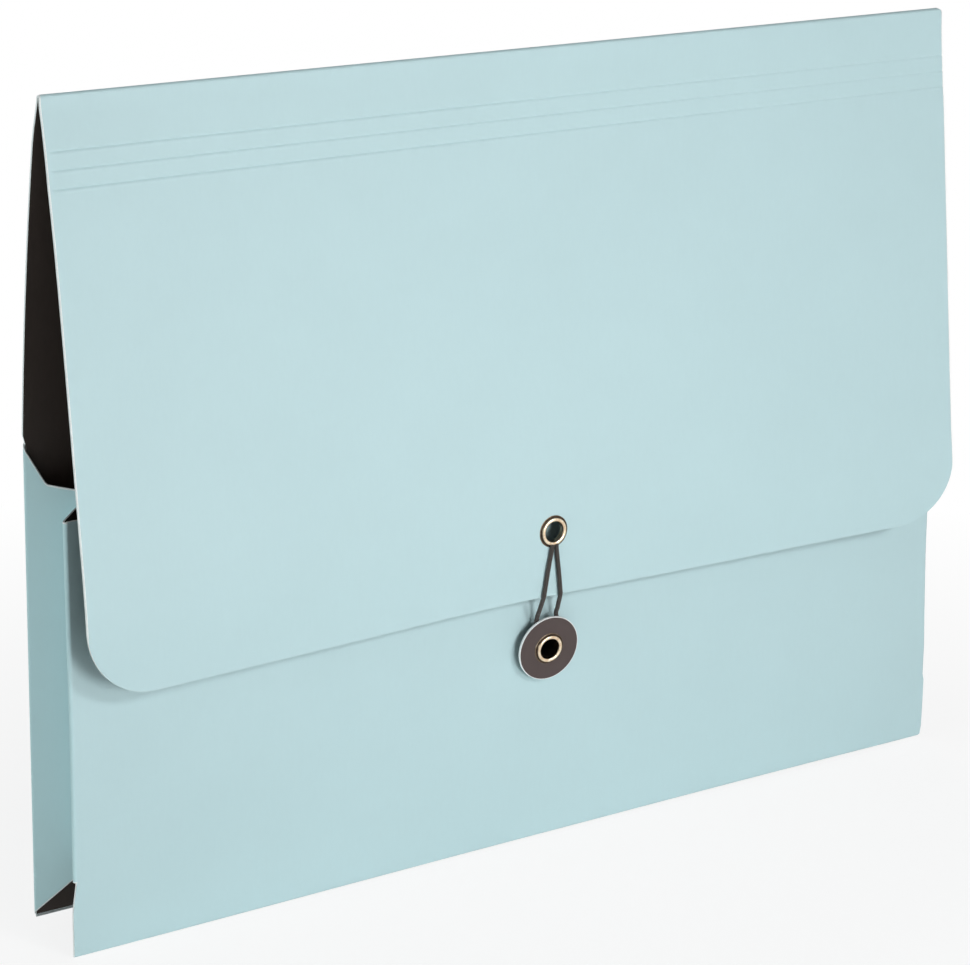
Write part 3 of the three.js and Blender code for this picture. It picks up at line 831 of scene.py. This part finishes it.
def elastic_loop(material):
    """Braided cord: a tube whose radius rises and falls on two crossing families of spiral strands."""
    middle, along = smooth_route(elastic_route(), CORD_RINGS)
    tangent = np.gradient(middle, axis=0)
    tangent /= np.linalg.norm(tangent, axis=1, keepdims=True)
    side = np.cross(tangent, (0.0, 1.0, 0.25))
    side /= np.linalg.norm(side, axis=1, keepdims=True)
    up = np.cross(side, tangent)
    angle = np.linspace(0.0, 2 * np.pi, CORD_SIDES, endpoint=False)[None, :]
    pitch = 2 * np.pi * along[:, None] / BRAID_PITCH
    braid = np.maximum(np.sin(BRAID_STRANDS * (angle + pitch)), np.sin(BRAID_STRANDS * (angle - pitch)))
    radius = ELASTIC_RADIUS * (BRAID_BODY + BRAID_RELIEF * braid)
    points = middle[:, None] + radius[..., None] * (np.cos(angle)[..., None] * side[:, None]
                                                    + np.sin(angle)[..., None] * up[:, None])
    cap = np.linspace(0.0, 1.0, 4)[:-1, None, None]
    first = middle[0] + (points[0] - middle[0]) * cap
    last = middle[-1] + (points[-1] - middle[-1]) * cap[::-1]
    points = np.concatenate([first, points, last])
    quads = grid_quads(len(points), CORD_SIDES, close_columns=True)
    piece = mesh_object("braided_elastic", points, quads, np.zeros(len(quads), int), [material])
    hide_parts("elastic_loop")


# Materials


def new_material(name, color, roughness, metallic=0.0):
    """A material and its main shader, with the shader's colour, roughness and metal set."""
    material = bpy.data.materials.new(name)
    material.use_nodes = True
    shader = material.node_tree.nodes["Principled BSDF"]
    shader.inputs["Base Color"].default_value = (*color, 1.0)
    shader.inputs["Roughness"].default_value = roughness
    shader.inputs["Metallic"].default_value = metallic
    return material, shader


def add_node(material, kind, **values):
    """A shader node with its inputs set by name."""
    node = material.node_tree.nodes.new(kind)
    for key, value in values.items():
        node.inputs[key.replace("_", " ")].default_value = value
    return node


def link(material, source, output, target, socket):
    """Joins one node's output to another node's input."""
    material.node_tree.links.new(source.outputs[output], target.inputs[socket])


def noise(material, scale, detail=4.0, roughness=0.6, stretch=(1.0, 1.0, 1.0)):
    """Noise on object coordinates, with as many swells to the metre as its scale."""
    place = material.node_tree.nodes.new("ShaderNodeTexCoord")
    mapping = add_node(material, "ShaderNodeMapping", Scale=stretch)
    made = add_node(material, "ShaderNodeTexNoise", Scale=scale, Detail=detail, Roughness=roughness)
    link(material, place, "Object", mapping, "Vector")
    link(material, mapping, "Vector", made, "Vector")
    return made


def ramp(material, source, output, stops):
    """Colours that follow a value: pairs of place and colour."""
    made = material.node_tree.nodes.new("ShaderNodeValToRGB")
    elements = made.color_ramp.elements
    while len(elements) < len(stops):
        elements.new(0.5)
    for element, (place, color) in zip(elements, stops):
        element.position = place
        element.color = (*color, 1.0)
    link(material, source, output, made, "Fac")
    return made


def mix_colors(material, factor, first, second):
    """Two colour outputs mixed by a factor, which is a number or an output."""
    made = material.node_tree.nodes.new("ShaderNodeMix")
    made.data_type = "RGBA"
    sockets = {s.identifier: s for s in made.inputs}
    if isinstance(factor, float):
        sockets["Factor_Float"].default_value = factor
    else:
        material.node_tree.links.new(factor, sockets["Factor_Float"])
    material.node_tree.links.new(first, sockets["A_Color"])
    material.node_tree.links.new(second, sockets["B_Color"])
    return next(s for s in made.outputs if s.identifier == "Result_Color")


def add_bump(material, shader, heights):
    """Bumps in a chain, each from a height output with its strength and depth in metres."""
    previous = None
    for output, strength, distance in heights:
        bump = add_node(material, "ShaderNodeBump", Strength=strength, Distance=distance)
        material.node_tree.links.new(output, bump.inputs["Height"])
        if previous:
            link(material, previous, "Normal", bump, "Normal")
        previous = bump
    link(material, previous, "Normal", shader, "Normal")


def shade(color, factor):
    """A colour made darker or lighter: each part times the factor, and at most 1."""
    return tuple(min(1.0, c * factor) for c in color)


def tint(material, source, color, dark, light):
    """A colour that follows a noise between two places of its value, each a pair of place and factor."""
    stops = [(place, shade(color, factor)) for place, factor in (dark, light)]
    return ramp(material, source, "Fac", stops)


def coated_card(name, color, roughness=0.55, mottle=0.018, fibre=0.014):
    """Smooth coloured card: faint cloudy mottling, fine fibres in the colour and a fine surface tooth."""
    material, shader = new_material(name, color, roughness)
    cloud = noise(material, 38.0, detail=5.0)
    tooth = noise(material, 5200.0, detail=3.0, roughness=0.7)
    strand = noise(material, 900.0, detail=6.0, roughness=0.75, stretch=(1.0, 1.0, 0.22))
    clouded = tint(material, cloud, color, (0.3, 1 - mottle), (0.7, 1 + mottle))
    fibred = tint(material, strand, color, (0.38, 1 - fibre), (0.62, 1 + fibre * 0.6))
    mixed = mix_colors(material, 0.45, clouded.outputs["Color"], fibred.outputs["Color"])
    material.node_tree.links.new(mixed, shader.inputs["Base Color"])
    add_bump(material, shader, [(tooth.outputs["Fac"], 0.2, 0.00004),
                                (strand.outputs["Fac"], 0.05, 0.00008)])
    return material


def card_core(name, color):
    """The bare cut edge: off-white board with fine torn layers along it."""
    material, shader = new_material(name, color, 0.8)
    layers = noise(material, 2600.0, detail=5.0, roughness=0.8)
    layered = tint(material, layers, color, (0.35, 0.86), (0.6, 1.0))
    link(material, layered, "Color", shader, "Base Color")
    add_bump(material, shader, [(layers.outputs["Fac"], 0.4, 0.00008)])
    return material


def eyelet_metal():
    """Copper with painted light: a painted highlight, bright and pale, on the bead's crest, painted shade
    and a painted dark reflection in its flange, patina with painted shade in its barrel, slightly uneven,
    with fine handling marks in the polish."""
    material, shader = new_material("copper_painted_sheen", (0.82, 0.62, 0.44), 0.25, metallic=1.0)
    stain = noise(material, 900.0, detail=5.0)
    marks = noise(material, 3500.0, detail=4.0, stretch=(1.0, 1.0, 5.0))
    bright = ramp(material, stain, "Fac", [(0.36, (0.70, 0.50, 0.32)), (0.64, (0.93, 0.81, 0.62))])
    dark = ramp(material, stain, "Fac", [(0.3, (0.030, 0.022, 0.017)), (0.7, (0.10, 0.065, 0.045))])
    # Dark and bright copper mixed by the painted sheen attribute: painted shade and dark reflection where
    # it is low, a painted highlight where it is high
    kept = material.node_tree.nodes.new("ShaderNodeAttribute")
    kept.attribute_name = "painted_sheen_and_patina"
    color = mix_colors(material, kept.outputs["Fac"], dark.outputs["Color"], bright.outputs["Color"])
    material.node_tree.links.new(color, shader.inputs["Base Color"])
    polish = ramp(material, marks, "Fac", [(0.3, (0.18,) * 3), (0.75, (0.36,) * 3)])
    link(material, polish, "Color", shader, "Roughness")
    add_bump(material, shader, [(marks.outputs["Fac"], 0.12, 0.00003)])
    return material


def braided_cord(color):
    """Dark brown covered elastic: a fine mottle of the spun yarn over the modelled braid."""
    material, shader = new_material("brown_braid", color, 0.82)
    yarn = noise(material, 4200.0, detail=4.0, roughness=0.7)
    mottled = tint(material, yarn, color, (0.35, 0.6), (0.7, 1.7))
    link(material, mottled, "Color", shader, "Base Color")
    shader.inputs["Sheen Weight"].default_value = 0.25
    shader.inputs["Sheen Roughness"].default_value = 0.5
    add_bump(material, shader, [(yarn.outputs["Fac"], 0.5, 0.0001)])
    return material


# Stage


def lamp(name, place, size, power, color=(1.0, 1.0, 1.0)):
    """A square soft lamp at a place, turned to face the folder's middle."""
    data = bpy.data.lights.new(name, "AREA")
    data.shape = "SQUARE"
    data.size = size
    data.energy = power
    data.color = color
    made = bpy.data.objects.new(name, data)
    made.location = place
    made.rotation_mode = "QUATERNION"
    made.rotation_quaternion = (Vector(LAMP_AIM) - Vector(place)).to_track_quat("-Z", "Y")
    bpy.context.scene.collection.objects.link(made)


def white_to_camera(tree, plain, white):
    """Mixes a shader with plain white light for what the camera sees, directly, in or through a surface."""
    path = tree.nodes.new("ShaderNodeLightPath")
    seen = path.outputs["Is Camera Ray"]
    for kind in ("Is Glossy Ray", "Is Transmission Ray"):
        total = tree.nodes.new("ShaderNodeMath")
        total.operation = "ADD"
        total.use_clamp = True
        tree.links.new(seen, total.inputs[0])
        tree.links.new(path.outputs[kind], total.inputs[1])
        seen = total.outputs[0]
    mix = tree.nodes.new("ShaderNodeMixShader")
    tree.links.new(seen, mix.inputs["Fac"])
    tree.links.new(plain, mix.inputs[1])
    tree.links.new(white, mix.inputs[2])
    return mix.outputs[0]


def set_world(strength):
    """An even pale world that lights softly and shows white behind the folder."""
    world = bpy.data.worlds.new("studio")
    bpy.context.scene.world = world
    world.use_nodes = True
    tree = world.node_tree
    soft = tree.nodes["Background"]
    soft.inputs["Color"].default_value = (0.94, 0.97, 1.0, 1.0)
    soft.inputs["Strength"].default_value = strength
    white = tree.nodes.new("ShaderNodeBackground")
    white.inputs["Color"].default_value = (1.0, 1.0, 1.0, 1.0)
    seen = white_to_camera(tree, soft.outputs[0], white.outputs[0])
    tree.links.new(seen, tree.nodes["World Output"].inputs["Surface"])


def distance_fade(material, near, far, share):
    """A value that rises from a share at the near distance from the floor's middle to 1 at the far one."""
    place = material.node_tree.nodes.new("ShaderNodeTexCoord")
    reach = material.node_tree.nodes.new("ShaderNodeVectorMath")
    reach.operation = "LENGTH"
    link(material, place, "Object", reach, 0)
    fade = add_node(material, "ShaderNodeMapRange", From_Min=near, From_Max=far, To_Min=share, To_Max=1.0)
    link(material, reach, "Value", fade, "Value")
    return fade.outputs["Result"]


def pale_floor():
    """A plain pale floor that fades to the white behind, and keeps the folder's soft shadow."""
    mesh = bpy.data.meshes.new("studio_floor")
    reach = 6.0
    level = -FRONT_SETTLE * MM
    turns = ((-1, -1), (1, -1), (1, 1), (-1, 1))
    corners = [(reach * x, reach * y, level) for x, y in turns]
    mesh.from_pydata(corners, [], [(0, 1, 2, 3)])
    floor = bpy.data.objects.new("studio_floor", mesh)
    bpy.context.scene.collection.objects.link(floor)
    material, shader = new_material("pale_floor", (0.93, 0.93, 0.93), 0.9)
    shader.inputs["Specular IOR Level"].default_value = 0.0
    tree = material.node_tree
    white = tree.nodes.new("ShaderNodeEmission")
    white.inputs["Strength"].default_value = 1.0
    seen = white_to_camera(tree, shader.outputs[0], white.outputs[0])
    soft_edge = distance_fade(material, near=0.12, far=0.36, share=0.84)
    mix = tree.nodes.new("ShaderNodeMixShader")
    tree.links.new(soft_edge, mix.inputs["Fac"])
    tree.links.new(shader.outputs[0], mix.inputs[1])
    tree.links.new(seen, mix.inputs[2])
    tree.links.new(mix.outputs[0], tree.nodes["Material Output"].inputs["Surface"])
    mesh.materials.append(material)


def place_camera():
    """The photograph's view: the camera's place and turns fitted to the folder's corners."""
    heading = math.radians(33.68)
    look_down = math.radians(17.65)
    roll = math.radians(-0.88)
    focal_pixels = 3041.0
    image_width = 970.0
    place = np.array([-321.3, -677.3, 371.55])
    ahead = np.array([math.sin(heading) * math.cos(look_down), math.cos(heading) * math.cos(look_down),
                      -math.sin(look_down)])
    right = np.cross(ahead, (0.0, 0.0, 1.0))
    right /= np.linalg.norm(right)
    down = np.cross(ahead, right)
    rolled_right = math.cos(roll) * right + math.sin(roll) * down
    rolled_down = -math.sin(roll) * right + math.cos(roll) * down
    data = bpy.data.cameras.new("photo_camera")
    data.sensor_width = 36.0
    data.lens = focal_pixels / image_width * data.sensor_width
    camera = bpy.data.objects.new("photo_camera", data)
    axes = np.eye(4)
    axes[:3, 0] = rolled_right
    axes[:3, 1] = -rolled_down
    axes[:3, 2] = -ahead
    axes[:3, 3] = to_frame(place)
    camera.matrix_world = Matrix(axes.tolist())
    bpy.context.scene.collection.objects.link(camera)
    bpy.context.scene.camera = camera


BLUE = (0.537, 0.725, 0.754)
BROWN_INSIDE = (0.064, 0.047, 0.039)
BROWN_BUTTON = (0.062, 0.042, 0.039)
BROWN_CORD = (0.036, 0.028, 0.024)
WHITE_CORE = (0.95, 0.96, 0.955)
LAMP_AIM = (0.0, 0.0, 0.11)

place_camera()
blue_card = coated_card("blue_card", BLUE)
brown_card = coated_card("brown_card", BROWN_INSIDE, roughness=0.75, mottle=0.12, fibre=0.12)
white_core = card_core("white_core", WHITE_CORE)
button_face = coated_card("brown_button_card", BROWN_BUTTON, roughness=0.6, mottle=0.06, fibre=0.08)
copper = eyelet_metal()

card_finishes = [blue_card, brown_card, white_core]
folded_card(card_finishes)
side_gusset("left_pleat", "left_gusset", False, card_finishes)
side_gusset("right_pleat", "right_gusset", True, card_finishes)
eyelet("flap_ring", "flap_eyelet", EYELET_RIM, EYELET_BORE, 0.05, -CARD - 0.25, eyelet_place(), copper)
button_disc(button_face, white_core)
eyelet("button_ring", "button_eyelet", RIVET_RIM, RIVET_BORE, BUTTON_CARD / 2 + 0.02,
       -BUTTON_STAND - CARD - 0.6, button_place(), copper)
elastic_loop(braided_cord(BROWN_CORD))

pale_floor()
set_world(strength=0.05)
lamp("near_lamp", (-0.025, -0.57, 0.16), size=0.18, power=1.33)
lamp("front_lamp", (0.40, -1.34, 0.86), size=0.24, power=6.3)
lamp("upper_lamp", (0.05, -0.45, 1.4), size=0.8, power=1.0)
lamp("side_lamp", (-1.4, -0.05, 0.35), size=0.5, power=7.1, color=(0.87, 1.0, 1.0))
lamp("back_lamp", (0.5, 1.4, 0.25), size=0.6, power=9.5)
bpy.context.scene.view_settings.view_transform = "Standard"
